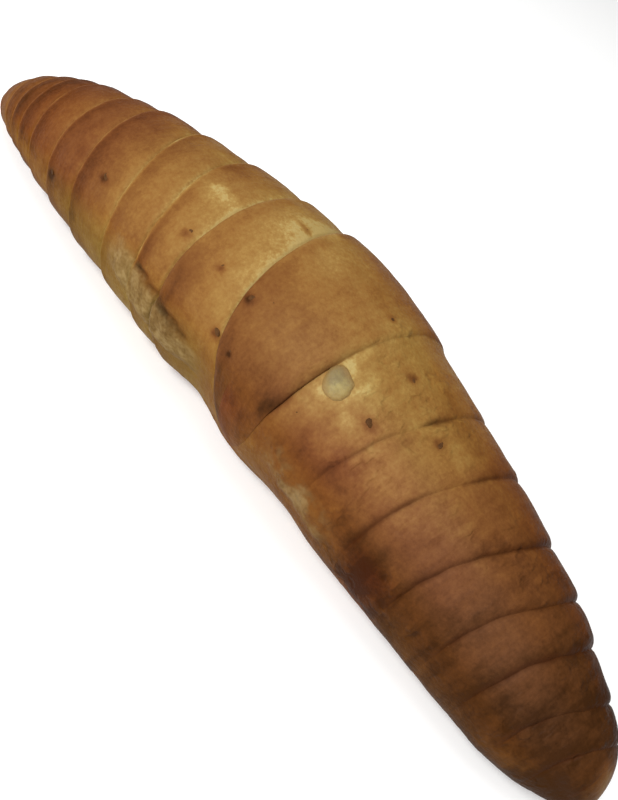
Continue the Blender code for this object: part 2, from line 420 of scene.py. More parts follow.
# The right end, which is cut slanting low in front and has a slight waist, and is pushed
# in at its tip: spans along the roll, and the way that its low front faces.
LOW_FRONT_FACING = (-0.82, -0.57)
RIGHT_END_CUT = (73.0 * MM, 93.0 * MM)
WAIST = (74.0 * MM, 92.0 * MM, 6.0 * MM)
WAIST_OFF_FRONT = 0.9
RIGHT_END_PUSHED = (80.0 * MM, 95.0 * MM)

# Where the grooves under the wraps' edges are open, in turns from the tip or before the
# end; the right half's are shallower, and closed at its end.
GROOVES_START = (0.15, 0.3)
GROOVES_END = (1.0, 3.0)
RIGHT_GROOVES_CLOSE = (7.6, 8.2)
RIGHT_GROOVES_SHALLOWER = 0.5

# Where the right half's steps are lower: past the tongue, and in degrees over the front.
PAST_TONGUE = (0.9, 1.1)
LOW_STEPS_START = (62.0, 95.0)
LOW_STEPS_END = (205.0, 235.0)

# Unevenness in waves a metre, with its detail and roughness; and the round edge between
# the flanks and the flat underside.
TORN_WAVES = (240.0, 3.0)
LUMP_WAVES = (75.0, 2.0)
SMALL_LUMP_WAVES = (330.0, 2.0)
CRUMB_WAVES = (620.0, 3.0, 0.65)
TRAY_EDGE_RADIUS = 0.9 * MM


def winding_tree():
    """Geometry nodes that wind a flat grid, the sheet of dough, into the roll."""
    inputs = {**dict.fromkeys(ROLL_SIZES, "Float"), "Crust": "Material"}
    tree, size = new_group("wind the dough", "GeometryNodeTree", {"Roll": "Geometry"}, inputs)
    columns = 2 * round(ROLL_SIZES["Turns"] * COLUMNS_PER_TURN)
    counts = {"Size X": 2.0, "Size Y": 1.0, "Vertices X": columns + 1, "Vertices Y": ROWS + 1}
    skin = result(tree, "GeometryNodeMeshGrid", counts, "Mesh")
    flat = result(tree, "GeometryNodeInputPosition")
    spread = add_node(tree, "ShaderNodeSeparateXYZ", {"Vector": flat})
    across = Field(tree, spread.outputs["X"])
    row = Field(tree, spread.outputs["Y"]) + 0.5

    side = across.math("SIGN")
    turns = across.math("ABSOLUTE") * size["Turns"]
    depth = row - (row * math.tau).math("SINE") * (ROW_CROWDING / math.tau)
    depth = depth.math("MAXIMUM", 0.0).math("MINIMUM", 1.0)
    covered = turns.math("GREATER_THAN", 1.0)
    own = edge_line(side, turns, size)
    following = edge_line(side, (turns - 1.0).math("MAXIMUM", 0.0), size)
    inner = mix(covered, middle_line(turns, size), following)
    width = (own - inner).math("ABSOLUTE")
    along = mix(depth, own, inner)
    angle = size["Tip angle"] - turns * math.tau
    round_degrees = (angle * (180.0 / math.pi)).math("WRAP", 270.0, -90.0)

    level = angle.math("COSINE")
    upright = angle.math("SINE")
    low_front = smooth(level * LOW_FRONT_FACING[0] + upright * LOW_FRONT_FACING[1], 0.0, 1.0)
    rounded_off = low_front * smooth(along, *RIGHT_END_CUT) * size["Right end cut"]
    share, height_share = body_share(along, size)
    waist = band(along, *WAIST) * size["Right end waist"] * (1.0 - low_front * WAIST_OFF_FRONT)
    share = share * (1.0 - rounded_off) * (1.0 - waist)
    bow = size["Bow"] * -1.0 * (along / size["Half length"]) ** 2.0
    thickness = share * size["Half width"]
    rise = share * size["Half height"]
    smooth_place = vector(along, bow + thickness * level, rise * upright)
    torn_here, crevice = torn(along, round_degrees, noise(smooth_place, *TORN_WAVES))

    from_edge = depth * width
    to_next = mix(covered, 1.0, (1.0 - depth) * width)
    pressed_out = smoothed_share(side, turns, depth, round_degrees, upright)
    on_right = side.math("GREATER_THAN", 0.0)
    open_crease = smooth(turns, *GROOVES_START) * smooth(size["Turns"] - turns, *GROOVES_END)
    open_crease = open_crease * (1.0 - pressed_out)
    open_crease = open_crease * (1.0 - on_right * smooth(turns - depth, *RIGHT_GROOVES_CLOSE))
    open_crease = open_crease * (1.0 - on_right * RIGHT_GROOVES_SHALLOWER)
    groove = hump(from_edge.math("MINIMUM", to_next), 0.0, size["Groove reach"]) * open_crease
    shallow = on_right * smooth(turns - depth * covered, *PAST_TONGUE)
    shallow = shallow * (smooth(round_degrees, *LOW_STEPS_START) - smooth(round_degrees, *LOW_STEPS_END))
    stepped = relief(side, turns, depth, width, size) * (1.0 - shallow * size["Right front share"])
    height = mix(pressed_out, stepped, size["Smoothed height"])
    height = height - size["Groove"] * groove - dent_depth(along, round_degrees)
    height = height + noise(smooth_place, *LUMP_WAVES) * size["Lumps"]
    height = height + noise(smooth_place, *SMALL_LUMP_WAVES) * size["Small lumps"]
    height = height + noise(smooth_place, *CRUMB_WAVES) * torn_here * size["Crumb"]
    height = height + torn_here * size["Torn ridge"] - crevice * size["Crevice"]

    fullness = mix(upright.math("LESS_THAN", 0.0), 1.0, size["Lower fullness"])
    level = level.math("SIGN") * level.math("ABSOLUTE") ** fullness
    upright = upright.math("SIGN") * upright.math("ABSOLUTE") ** fullness
    y = bow + (thickness + height) * level
    core_height = (size["Half height"] - size["End lift"]) * height_share + size["End lift"]
    z = core_height + (rise + height) * upright
    on_tray = (z - size["Tray height"]).math("SMOOTH_MAX", 0.0, TRAY_EDGE_RADIUS)
    shortened = size["Right end short"] * smooth(along, *RIGHT_END_PUSHED)
    place = vector(along - shortened - ROLL_MIDDLE[0], y - ROLL_MIDDLE[1], on_tray)

    finish = {
        "from_edge": from_edge,
        "to_next": to_next,
        "turns": turns,
        "round": round_degrees,
        "torn": torn_here,
        "crevice": crevice,
    }
    for name, value in finish.items():
        stored = {"Geometry": skin, "Name": name, "Value": value}
        skin = result(tree, "GeometryNodeStoreNamedAttribute", stored, domain="CORNER")
    wound = result(tree, "GeometryNodeSetPosition", {"Geometry": skin, "Position": place})
    welded = result(tree, "GeometryNodeMergeByDistance", {"Geometry": wound, "Distance": WELD})
    real = result(tree, "GeometryNodeRealizeInstances", {"Geometry": welded})
    baked = result(tree, "GeometryNodeSetMaterial", {"Geometry": real, "Material": size["Crust"]})
    add_node(tree, "NodeGroupOutput", {"Roll": baked})
    return tree


def placed(name, data):
    """A new object, laid in the scene."""
    piece = bpy.data.objects.new(name, data)
    bpy.context.scene.collection.objects.link(piece)
    return piece


def made_plain(name, host_mesh, tree, values):
    """The piece that a geometry tree makes from a host mesh, as a plain mesh object."""
    piece = placed(name, host_mesh)
    modifier = piece.modifiers.new(tree.name, "NODES")
    modifier.node_group = tree
    for item in tree.interface.items_tree:
        if item.item_type == "SOCKET" and item.in_out == "INPUT" and item.name in values:
            modifier[item.identifier] = values[item.name]
    depsgraph = bpy.context.evaluated_depsgraph_get()
    plain = bpy.data.meshes.new_from_object(piece.evaluated_get(depsgraph))
    plain.name = name
    piece.modifiers.clear()
    piece.data = plain
    return piece


def close_tips(mesh):
    """Close the small round gap at each tip, and turn every face outwards."""
    skin = bmesh.new()
    skin.from_mesh(mesh)
    gaps = [edge for edge in skin.edges if edge.is_boundary]
    caps = bmesh.ops.holes_fill(skin, edges=gaps, sides=0)["faces"]
    bmesh.ops.poke(skin, faces=caps)
    bmesh.ops.recalc_face_normals(skin, faces=skin.faces)
    skin.to_mesh(mesh)
    skin.free()
    mesh.shade_smooth()


# The crust's colours, from the palest dough to the darkest bake, and the same for the
# low flanks, which got less heat and are more yellow.
BAKE_COLOURS = [
    (0.00, (0.336, 0.238, 0.086)),
    (0.05, (0.318, 0.210, 0.068)),
    (0.11, (0.280, 0.168, 0.049)),
    (0.20, (0.247, 0.136, 0.037)),
    (0.30, (0.220, 0.111, 0.029)),
    (0.40, (0.199, 0.091, 0.023)),
    (0.50, (0.168, 0.071, 0.018)),
    (0.60, (0.143, 0.055, 0.0144)),
    (0.70, (0.117, 0.042, 0.0111)),
    (0.80, (0.089, 0.031, 0.0086)),
    (0.90, (0.060, 0.021, 0.0055)),
    (1.00, (0.035, 0.012, 0.0027)),
]
LOW_COLOURS = [
    (0.00, (0.277, 0.191, 0.066)),
    (0.30, (0.183, 0.100, 0.028)),
    (0.50, (0.146, 0.068, 0.016)),
    (0.70, (0.110, 0.044, 0.0095)),
    (1.00, (0.033, 0.012, 0.0025)),
]

# The bare crumb of the torn strips, from its pores to its bright edges.
CRUMB_COLOURS = [
    (0.25, (0.100, 0.058, 0.019)),
    (0.50, (0.172, 0.110, 0.041)),
    (0.75, (0.262, 0.184, 0.076)),
]

# How strongly the crust is baked along the roll, from the left tip to the right, and on
# the tongue from its top down to its tip.  The darkest right end is partly painted shade,
# where the light falls off.
BAKE_AND_SHADE_ALONG = [
    (-95.0, 0.60), (-84.0, 0.69), (-76.0, 0.82), (-68.0, 0.69), (-60.0, 0.64), (-52.0, 0.66),
    (-44.0, 0.54), (-36.0, 0.43), (-28.0, 0.38), (-20.0, 0.33), (-12.0, 0.27), (-4.0, 0.24),
    (12.0, 0.24), (20.0, 0.28), (28.0, 0.34), (36.0, 0.42), (44.0, 0.56), (52.0, 0.68),
    (60.0, 0.75), (68.0, 0.84), (76.0, 0.94), (84.0, 0.98), (95.0, 0.96),
]
BAKE_ROUND_TONGUE = [
    (-90.0, 0.50), (0.0, 0.50), (50.0, 0.52), (70.0, 0.42), (90.0, 0.29), (110.0, 0.33), (125.0, 0.43),
    (140.0, 0.48), (155.0, 0.54), (170.0, 0.59), (185.0, 0.58), (210.0, 0.54), (270.0, 0.50),
]

# How much browner the front is than the top and the shoulder, along the roll.
BROWNER_IN_FRONT = [
    (-95.0, 0.00), (-76.0, 0.02), (-60.0, 0.08), (-44.0, 0.10), (-30.0, 0.08), (-16.0, 0.20),
    (0.0, 0.26), (16.0, 0.28), (24.0, 0.34), (34.0, 0.32), (44.0, 0.24), (60.0, 0.17),
    (74.0, 0.10), (95.0, 0.04),
]

# Patches that took more heat or less: along in mm, round in degrees, how far they reach
# both ways, and how much darker or paler they are.
PATCHES = [
    (-24.0, 112.5, 4.0, 8.0, -0.30), (-48.0, 80.0, 9.0, 13.0, -0.16), (-28.0, 145.0, 3.5, 14.0, 0.07),
    (-9.0, 94.0, 5.0, 19.0, -0.21), (-26.8, 90.0, 4.0, 8.0, 0.18), (-24.5, 162.0, 2.6, 10.0, 0.28),
    (-14.5, 163.0, 3.6, 15.0, 0.26), (-12.5, 142.0, 4.0, 12.0, 0.12), (4.0, 128.0, 7.0, 11.0, 0.08),
    (13.7, 169.0, 1.2, 5.0, 0.18), (14.9, 163.0, 1.0, 5.0, 0.20), (15.6, 156.0, 0.8, 4.0, 0.12),
    (13.0, 160.0, 2.4, 8.0, 0.12), (9.5, 178.0, 7.0, 20.0, 0.08), (16.5, 182.0, 2.6, 8.0, 0.10),
    (18.0, 141.0, 1.2, 3.0, -0.20), (17.6, 122.0, 1.4, 3.5, -0.16), (24.6, 139.5, 1.8, 3.5, -0.18),
    (22.3, 146.0, 1.0, 4.5, 0.13), (21.0, 124.0, 0.8, 4.0, 0.16), (24.8, 97.0, 1.2, 1.8, 0.14),
    (22.8, 99.0, 1.6, 1.5, 0.09), (29.0, 107.0, 0.6, 2.0, 0.15), (22.8, 142.0, 0.7, 2.2, 0.12),
    (24.6, 146.0, 0.5, 2.5, 0.10), (20.0, 150.0, 1.8, 2.0, -0.09), (26.5, 118.0, 1.5, 2.4, -0.08),
    (30.8, 112.0, 1.0, 2.6, -0.12), (28.8, 153.0, 2.0, 9.0, 0.18), (27.8, 163.0, 2.4, 7.0, 0.14),
    (23.0, 168.0, 3.4, 5.0, 0.09), (20.0, 165.0, 4.0, 22.0, 0.09), (31.0, 138.0, 1.2, 4.0, -0.16),
    (30.2, 147.0, 1.2, 4.0, -0.14), (21.6, 158.0, 0.9, 5.0, 0.10), (76.0, 186.0, 5.0, 22.0, -0.18),
    (-12.0, 186.0, 4.0, 7.0, 0.20), (-28.0, 87.0, 14.0, 9.0, -0.05), (48.0, 140.0, 7.0, 8.0, 0.06),
    (60.0, 140.0, 4.0, 7.0, 0.06), (60.5, 163.0, 3.5, 9.0, -0.08), (36.0, 185.0, 3.0, 6.0, -0.08),
    (4.0, 200.0, 6.0, 8.0, 0.18), (-74.0, 192.0, 8.0, 14.0, -0.20), (42.0, 178.0, 5.0, 15.0, 0.20),
    (42.5, 197.0, 6.5, 13.0, 0.20), (20.5, 128.0, 4.5, 15.0, -0.13), (38.0, 104.0, 5.0, 12.0, -0.13),
    (32.0, 84.0, 6.0, 8.0, 0.16), (44.5, 72.0, 5.0, 12.0, 0.12), (-62.0, 200.0, 26.0, 14.0, -0.10),
    (9.0, 92.0, 4.0, 12.0, 0.08), (0.0, 92.0, 3.0, 12.0, -0.10), (89.5, 96.0, 3.2, 34.0, -0.50),
]

# The larger flecks of bran on the front: along and round, length and width, in mm and
# degrees.  The crust is a little darker round each.
FRONT_FLECKS = [
    (-56.9, 182.0, 1.9, 1.2), (-43.0, 153.0, 2.3, 1.3), (-19.6, 141.0, 1.9, 1.3), (-8.2, 93.0, 2.8, 0.9),
    (-0.8, 140.5, 2.0, 1.1), (-1.8, 165.5, 2.3, 1.4), (3.2, 164.5, 0.9, 0.6),
    (25.0, 99.0, 1.7, 1.0), (27.1, 132.2, 2.2, 1.8), (35.9, 107.0, 2.3, 1.3),
    (14.8, 91.0, 1.3, 0.9), (-9.3, 141.0, 1.4, 0.9),
]

# Where the painted shade in the right half's creases is darker, or the creases nearly
# closed: along, round and the two reaches, as in PATCHES, and how much stronger.  Then
# the red brown of that painted crease shade.
CREASE_SHADE_MARKS = [
    (32.5, 100.0, 3.0, 9.0, 0.3), (31.4, 117.0, 3.0, 6.0, -0.6), (33.2, 84.0, 2.5, 7.0, -0.3),
    (31.0, 131.0, 3.0, 8.0, -0.1), (28.5, 155.0, 3.0, 14.0, -0.12), (17.3, 140.0, 2.6, 24.0, -0.4),
    (44.8, 80.0, 3.0, 15.0, 0.3), (42.1, 113.0, 3.0, 8.0, -0.6), (40.6, 143.0, 3.0, 12.0, 0.25),
    (39.5, 168.0, 3.0, 12.0, 0.5), (55.5, 84.0, 4.0, 18.0, 0.5), (53.0, 118.0, 3.0, 5.0, 0.3),
    (50.2, 158.0, 3.0, 14.0, 0.5), (61.4, 129.0, 3.0, 7.0, 0.3), (59.8, 155.0, 3.0, 13.0, 0.35),
    (69.5, 125.0, 4.0, 50.0, 0.55), (82.0, 135.0, 3.0, 20.0, 0.4),
]
CREASE_SHADE_COLOUR = (0.045, 0.013, 0.003)

# Areas of another tint: along (from, to and edge, in mm), round (the same, in degrees),
# and how much richer and how much redder they are, or less red.
EVERYWHERE = 1000.0
TINTED_AREAS = [
    ((-EVERYWHERE, EVERYWHERE, 1.0), (168.0, EVERYWHERE, 6.0), 0.030, 0.0),
    ((-EVERYWHERE, EVERYWHERE, 1.0), (-EVERYWHERE, 91.0, 13.0), 0.028, 0.0),
    ((-82.0, -62.0, 6.0), (115.0, EVERYWHERE, 10.0), 0.022, 0.0),
    ((-2.0, 10.0, 5.0), (179.0, EVERYWHERE, 7.0), 0.026, 0.014),
    ((40.0, 48.0, 4.0), (174.0, EVERYWHERE, 8.0), 0.026, 0.014),
    ((-80.0, -46.0, 8.0), (-EVERYWHERE, 179.0, 7.0), 0.0, 0.0065),
    ((17.0, 40.0, 5.0), (78.0, 128.0, 8.0), 0.0, -0.005),
    ((0.0, EVERYWHERE, 0.001), (-EVERYWHERE, 81.0, 11.0), 0.0, 0.005),
    ((26.0, 56.0, 4.0), (128.0, 158.0, 8.0), 0.0, 0.0035),
    ((20.0, 32.0, 5.0), (148.0, 172.0, 10.0), 0.0, 0.006),
]


def attribute(tree, name):
    return result(tree, "ShaderNodeAttribute", output="Fac", attribute_name=name)


def colour_ramp(value, stops):
    node = add_node(value.tree, "ShaderNodeValToRGB", {"Fac": value})
    elements = node.color_ramp.elements
    for element, (position, colour) in zip((elements[0], elements[-1]), (stops[0], stops[-1])):
        element.position = position
        element.color = (*colour, 1.0)
    for position, colour in stops[1:-1]:
        elements.new(position).color = (*colour, 1.0)
    return Field(value.tree, node.outputs["Color"])


def mix_colour(share, low, high):
    low, high = (end if isinstance(end, Field) else (*end, 1.0) for end in (low, high))
    return result(share.tree, "ShaderNodeMix", {0: share, 6: low, 7: high}, 2, data_type="RGBA")


def new_material(name):
    """A material, its shader, and the place on the piece that its patterns follow."""
    material = bpy.data.materials.new(name)
    material.use_nodes = True
    place = result(material.node_tree, "ShaderNodeTexCoord", output="Object")
    return material, material.node_tree.nodes["Principled BSDF"], place


def bumped(height, strength, distance):
    """A normal with relief too fine for the mesh."""
    inputs = {"Height": height, "Strength": strength, "Distance": distance}
    return result(height.tree, "ShaderNodeBump", inputs, "Normal")


# Coarse and fine layers of unevenness, as waves a metre, detail, roughness and strength.
MOTTLE_LAYERS = [(480.0, 3.0, 0.62, 0.6), (1500.0, 2.0, 0.6, 0.7)]
GRAIN_LAYERS = [(900.0, 3.0, 0.6, 0.6), (2600.0, 2.0, 0.5, 0.4)]


def layered(place, layers):
    return sum(noise(place, *waves) * strength for *waves, strength in layers)


def grain_group():
    """Shared by every baked surface: its fine grain and the mottling of its colour."""
    outputs = {"Mottle": "Float", "Grain": "Float"}
    group, given = new_group("baked grain", "ShaderNodeTree", outputs, {"Vector": "Vector"})
    place = given["Vector"]
    laid = {"Mottle": layered(place, MOTTLE_LAYERS), "Grain": layered(place, GRAIN_LAYERS)}
    add_node(group, "NodeGroupOutput", laid)
    return group


BAKED_GRAIN = grain_group()


def baked_grain(place):
    node = add_node(place.tree, "ShaderNodeGroup", {"Vector": place}, node_tree=BAKED_GRAIN)
    return Field(place.tree, node.outputs["Mottle"]), Field(place.tree, node.outputs["Grain"])


# How ragged a patch is: how far it is pushed along and round, and how unevenly it fades.
RAGGED_ALONG = 1.1
RAGGED_ROUND = -0.9
RAGGED_FADE = 0.55


def patch_group():
    """One uneven patch on the crust: 1 in its middle, fading out raggedly."""
    names = ("Along", "Round", "Ragged", "Place along", "Place round", "Reach along", "Reach round")
    inputs = dict.fromkeys(names, "Float")
    group, given = new_group("uneven patch", "ShaderNodeTree", {"Share": "Float"}, inputs)
    along, round_degrees, ragged, at, angle, reach, spread = (given[name] for name in names)
    away = ((along - at) / reach + ragged * RAGGED_ALONG) ** 2.0
    away = away + ((round_degrees - angle) / spread + ragged * RAGGED_ROUND) ** 2.0
    share = (away * (ragged * RAGGED_FADE + 1.0) * -1.0).math("EXPONENT")
    add_node(group, "NodeGroupOutput", {"Share": share})
    return group


PATCH = patch_group()

# Unevenness of the crust in waves a metre, with its detail and roughness.  Puffs are
# small swellings and hollows on the right half, where the crust is broken up.  They and
# the streaks are drawn out round the roll, so along it they come this much closer.
BROAD_WAVES = (55.0, 2.0)
MIDDLING_WAVES = (210.0, 3.0, 0.55)
BROKEN_WAVES = (160.0, 2.0)
STREAK_WAVES = (95.0, 3.0, 0.55)
STREAKS_CLOSER = 6.0
PUFF_WAVES = (230.0, 2.0, 0.5)
PUFFS_CLOSER = 1.6
PUFF_RISE = (0.06, 0.30)
PUFFED_UP = (-0.15, 0.25)
PUFFED_BROADLY = 0.5
PUFFS_ALONG = (13.0, 86.0, 4.0)
LEFT_HALF_TO = 6.0


class Crust:
    """What the shader knows of each spot of the crust: its place in mm, and its unevenness."""

    def __init__(self, place):
        tree = place.tree
        parts = add_node(tree, "ShaderNodeSeparateXYZ", {"Vector": place})
        x, y, z = (Field(tree, parts.outputs[axis]) for axis in "XYZ")
        self.place = place
        self.along = x * (1.0 / MM)
        self.from_edge = attribute(tree, "from_edge") * (1.0 / MM)
        self.to_next = attribute(tree, "to_next") * (1.0 / MM)
        self.turns, self.round, self.torn, self.crevice = (
            attribute(tree, name) for name in ("turns", "round", "torn", "crevice")
        )
        self.left = self.along.math("LESS_THAN", LEFT_HALF_TO)
        self.mottle, self.grain = baked_grain(place)
        self.broad = noise(place, *BROAD_WAVES)
        self.middling = noise(place, *MIDDLING_WAVES)
        self.broken = noise(place, *BROKEN_WAVES)
        self.streaks = noise(vector(x * STREAKS_CLOSER, y, z), *STREAK_WAVES)
        lumpy = noise(vector(x * PUFFS_CLOSER, y, z), *PUFF_WAVES)
        puffs = smooth(lumpy, *PUFF_RISE) - smooth(lumpy * -1.0, *PUFF_RISE)
        puffed_up = smooth(self.broken + self.broad * PUFFED_BROADLY, *PUFFED_UP)
        self.puffs = puffs * puffed_up * band(self.along, *PUFFS_ALONG)


def read_off(value, table):
    """A value read from a smooth curve through a table of places and numbers."""
    start, end = table[0][0], table[-1][0]
    knots = [((at - start) / (end - start), number) for at, number in table]
    return drawn_curve((value - start) / (end - start), knots)


def with_patches(crust, value, patches):
    """A value that is raised or lowered on uneven patches."""
    for at, angle, reach, spread, change in patches:
        inputs = {
            "Along": crust.along, "Round": crust.round, "Ragged": crust.middling,
            "Place along": at, "Place round": angle, "Reach along": reach, "Reach round": spread,
        }
        value = value + result(value.tree, "ShaderNodeGroup", inputs, node_tree=PATCH) * change
    return value


# Where the front begins and ends, in degrees round, how ragged it begins, and how much
# of it is left underneath and on the tongue.
FRONT_START = (132.0, 178.0)
FRONT_END = (205.0, 250.0)
FRONT_FRAY = 8.0
UNDERSIDE_LOSS = 0.6
TONGUE_FRONT_SHARE = 0.25

# The darker ring round a fleck: its reach as shares of the fleck's length and width.
RING_REACH = 0.62
RING_SPREAD = 2.2
RING_DARKER = 0.36


def baked_by_place(crust):
    """How strongly the crust is baked along the roll, round it, and on its patches, with painted shade at
    the right end.
    """
    on_tongue = crust.turns.math("LESS_THAN", 1.0)
    bake = mix(on_tongue, read_off(crust.along, BAKE_AND_SHADE_ALONG), read_off(crust.round, BAKE_ROUND_TONGUE))
    in_front = smooth(crust.round + crust.broad * FRONT_FRAY, *FRONT_START)
    in_front = in_front * (1.0 - smooth(crust.round, *FRONT_END) * UNDERSIDE_LOSS)
    browner = read_off(crust.along, BROWNER_IN_FRONT) * in_front
    bake = bake + browner * mix(on_tongue, 1.0, TONGUE_FRONT_SHARE)
    rings = [
        (at, angle, length * RING_REACH, width * RING_SPREAD, RING_DARKER)
        for at, angle, length, width in FRONT_FLECKS
    ]
    return with_patches(crust, bake, PATCHES + rings)


# The wraps' edges, in mm from them: the pale rim, dry dough and partly a painted highlight
# where the left half's lips face the light, the brown lip behind it, and the two pale
# strips beside the next crease, each with how much it is paler or browner.
# The rim and the lip are weaker at the back and towards the tips.
UNDER_TONGUE = (0.9, 1.1)
RIM_STARTS = (1.2, 2.0)
RIM_PLACE = 0.7
RIM_REACH = 0.5
RIM_PALER_AND_HIGHLIGHT = 0.30
RIM_BROKEN = 0.45
RIM_AT_BACK = 0.25
RIM_TIP = (80.0, 92.0)
RIM_TIP_LOSS = 0.7
LIP_PLACES = (1.4, 2.2)
LIP_REACH = 2.0
LIP_BROWNER = 0.10
WIDE_STRIP = (2.8, 0.15)
NARROW_STRIP = (0.4, 0.28)
RIGHT_EDGE_SHARE = 0.08
EDGES_AT_BACK = 0.6
EDGES_FADE = (58.0, 74.0)
EDGES_LOSS = 0.25
FRONT_SIDE_START = (45.0, 85.0)
FRONT_SIDE_END = (215.0, 250.0)


def baked_edges(crust):
    """Each wrap is pale along its edge, dry dough with a painted highlight on the left half, brown behind
    it, and pale beside the next crease.
    """
    towards_front = smooth(crust.round, *FRONT_SIDE_START) * fading(crust.round, *FRONT_SIDE_END)
    rim = hump(crust.from_edge, RIM_PLACE, RIM_REACH) * crust.left * smooth(crust.turns, *RIM_STARTS)
    rim = rim * mix(towards_front, RIM_AT_BACK, 1.0)
    rim = rim * (1.0 - smooth(crust.along * -1.0, *RIM_TIP) * RIM_TIP_LOSS)
    lip = hump(crust.from_edge, mix(crust.left, *LIP_PLACES), LIP_REACH)
    strips = 0.0
    for reach, paler in (WIDE_STRIP, NARROW_STRIP):
        strips = strips + (crust.to_next / -reach).math("EXPONENT") * paler
    strips = strips * smooth(crust.turns, *UNDER_TONGUE)
    strength = mix(crust.left, RIGHT_EDGE_SHARE, 1.0) * mix(towards_front, EDGES_AT_BACK, 1.0)
    strength = strength * (1.0 - smooth(crust.along.math("ABSOLUTE"), *EDGES_FADE) * EDGES_LOSS)
    return strength * (lip * LIP_BROWNER - strips) - rim * (RIM_PALER_AND_HIGHLIGHT + crust.broken * RIM_BROKEN)


# The right half's creases, painted dark as shade because their lips face away from the
# light: how strong they are and how much that varies, where their line and the brown
# painted shade behind it lie, in mm, and where they end.
CREASE_STRENGTH = 0.32
CREASE_BROKEN = 0.55
CREASE_STRONGEST = 1.1
LINE_PLACE = 0.15
LINE_FRAY = 0.50
LINE_WIDTHS = (0.28, 0.62)
LINE_DARKER = 1.05
LINE_DARKEST = 0.95
SHADE_PLACE = 0.5
SHADE_REACH = 1.0
SHADE_BROWNER = 0.12
CREASES_START = (0.2, 0.9)
CREASES_END = (8.4, 8.8)
CREASES_LOW_END = (176.0, 192.0)


def painted_crease_shade(crust):
    """Painted shade in the right half's creases: thin dark lines, broken here and there, and a soft shade
    behind.
    """
    strong = with_patches(crust, CREASE_STRENGTH + crust.broken * CREASE_BROKEN, CREASE_SHADE_MARKS)
    strong = strong.math("MAXIMUM", 0.0).math("MINIMUM", CREASE_STRONGEST)
    before = crust.from_edge.math("LESS_THAN", crust.to_next)
    off_crease = crust.from_edge * before - crust.to_next * (1.0 - before)
    off_crease = off_crease + crust.middling * LINE_FRAY
    line = hump(off_crease, LINE_PLACE, mix(strong, *LINE_WIDTHS))
    shade = hump(off_crease, LINE_PLACE + SHADE_PLACE, SHADE_REACH)
    strong = strong * (1.0 - crust.left) * smooth(crust.turns, *CREASES_START)
    strong = strong * fading(crust.turns, *CREASES_END) * fading(crust.round, *CREASES_LOW_END)
    return line * strong, shade * strong


# How much each kind of unevenness changes the bake.  The middling one and the puffs are
# weaker at the calm right end, and the streaks are weaker on the left half.
CALM_END = (52.0, 76.0)
# The crevice over the left torn strip is darkened by this much, as painted shade.
CREVICE_PAINTED_SHADE = 0.36
BROAD_SHARE = 0.07
MIDDLING_SHARES = (0.13, 0.07)
PUFF_SHARES = (0.08, 0.035)
STREAK_SHARES = (0.13, 0.09)
SPECKLE_SHARE = 0.30
SPECKLE_LOSS = 0.20


def uneven_bake(crust, bake):
    """The bake with its blotches, speckles, streaks and puffs."""
    calm = smooth(crust.along, *CALM_END)
    blotches = crust.broad * BROAD_SHARE + crust.middling * mix(calm, *MIDDLING_SHARES)
    speckles = crust.mottle * (SPECKLE_SHARE - bake * SPECKLE_LOSS)
    streaks = crust.streaks * mix(crust.left, *STREAK_SHARES)
    return bake + blotches + speckles + streaks - crust.puffs * mix(calm, *PUFF_SHARES)


# Where the crust has the low flanks' colours, in degrees round: higher up at the right
# end and on the left half, weaker towards the left tip, and all round the right tip.
LOW_FLANK = (188.0, 243.0, 12.0)
HIGHER_FROM = (70.0, 84.0)
HIGHER_RIGHT = 14.0
HIGHER_LEFT = 8.0
RIGHT_FLANK_SHARE = 0.8
LEFT_TIP = (46.0, 62.0)
LEFT_TIP_LOSS = 0.7
RIGHT_TIP = (85.0, 89.0)
RIGHT_TIP_SHARE = 0.9
RIGHT_TIP_FRAY = 0.8


def low_share(crust):
    """1 on the low flanks, which got less heat."""
    higher = smooth(crust.along, *HIGHER_FROM) * HIGHER_RIGHT + crust.left * HIGHER_LEFT
    low = band(crust.round + higher, *LOW_FLANK) * mix(crust.left, RIGHT_FLANK_SHARE, 1.0)
    low = low * (1.0 - smooth(crust.along * -1.0, *LEFT_TIP) * LEFT_TIP_LOSS)
    at_tip = smooth(crust.along + crust.middling * RIGHT_TIP_FRAY, *RIGHT_TIP)
    return low.math("MAXIMUM", at_tip * RIGHT_TIP_SHARE)


# A painted sheen high on the right half's front, where the frontal light glances off: a
# duller band, duller towards the end; and how much redder the left half's low flank is,
# which is less red.
SHEEN_ROUND = (118.0, 158.0, 12.0)
SHEEN_ALONG = (6.0, 80.0, 8.0)
SHEEN_FRAY = 6.0
DULLER_FROM = (34.0, 50.0)
SHEEN_LOSSES = (0.026, 0.046)
LEFT_FLANK_REDDER = -0.012


def tinted(crust, colour, low):
    """The crust's colour, duller under the painted sheen, and richer and redder in its tinted areas."""
    painted_sheen = band(crust.round + crust.broad * SHEEN_FRAY, *SHEEN_ROUND) * band(crust.along, *SHEEN_ALONG)
    richness = 1.0 - painted_sheen * mix(smooth(crust.along, *DULLER_FROM), *SHEEN_LOSSES)
    redder = low * crust.left * LEFT_FLANK_REDDER
    for along_span, round_span, more_rich, more_red in TINTED_AREAS:
        here = band(crust.along, *along_span) * band(crust.round, *round_span)
        richness = richness + here * more_rich
        redder = redder + here * more_red
    tint = {"Hue": 0.5 - redder, "Saturation": richness, "Color": colour}
    return result(colour.tree, "ShaderNodeHueSaturation", tint, "Color")


# The bare crumb: coarse and fine waves a metre on the right and the left half, and how
# much of it shows there, in scraps on the right, and less of it in the crevice.
CRUMB_COARSE = (280.0, 420.0)
CRUMB_FINE = (960.0, 1440.0)
CRUMB_SHARES = (0.8, 0.6, 0.5)
CRUMB_SCRAPS = (-0.20, 0.25)
SCRAPS_BROADLY = 0.4
BARE_SHARES = (0.55, 0.66)
CREVICE_COVERED = 0.75


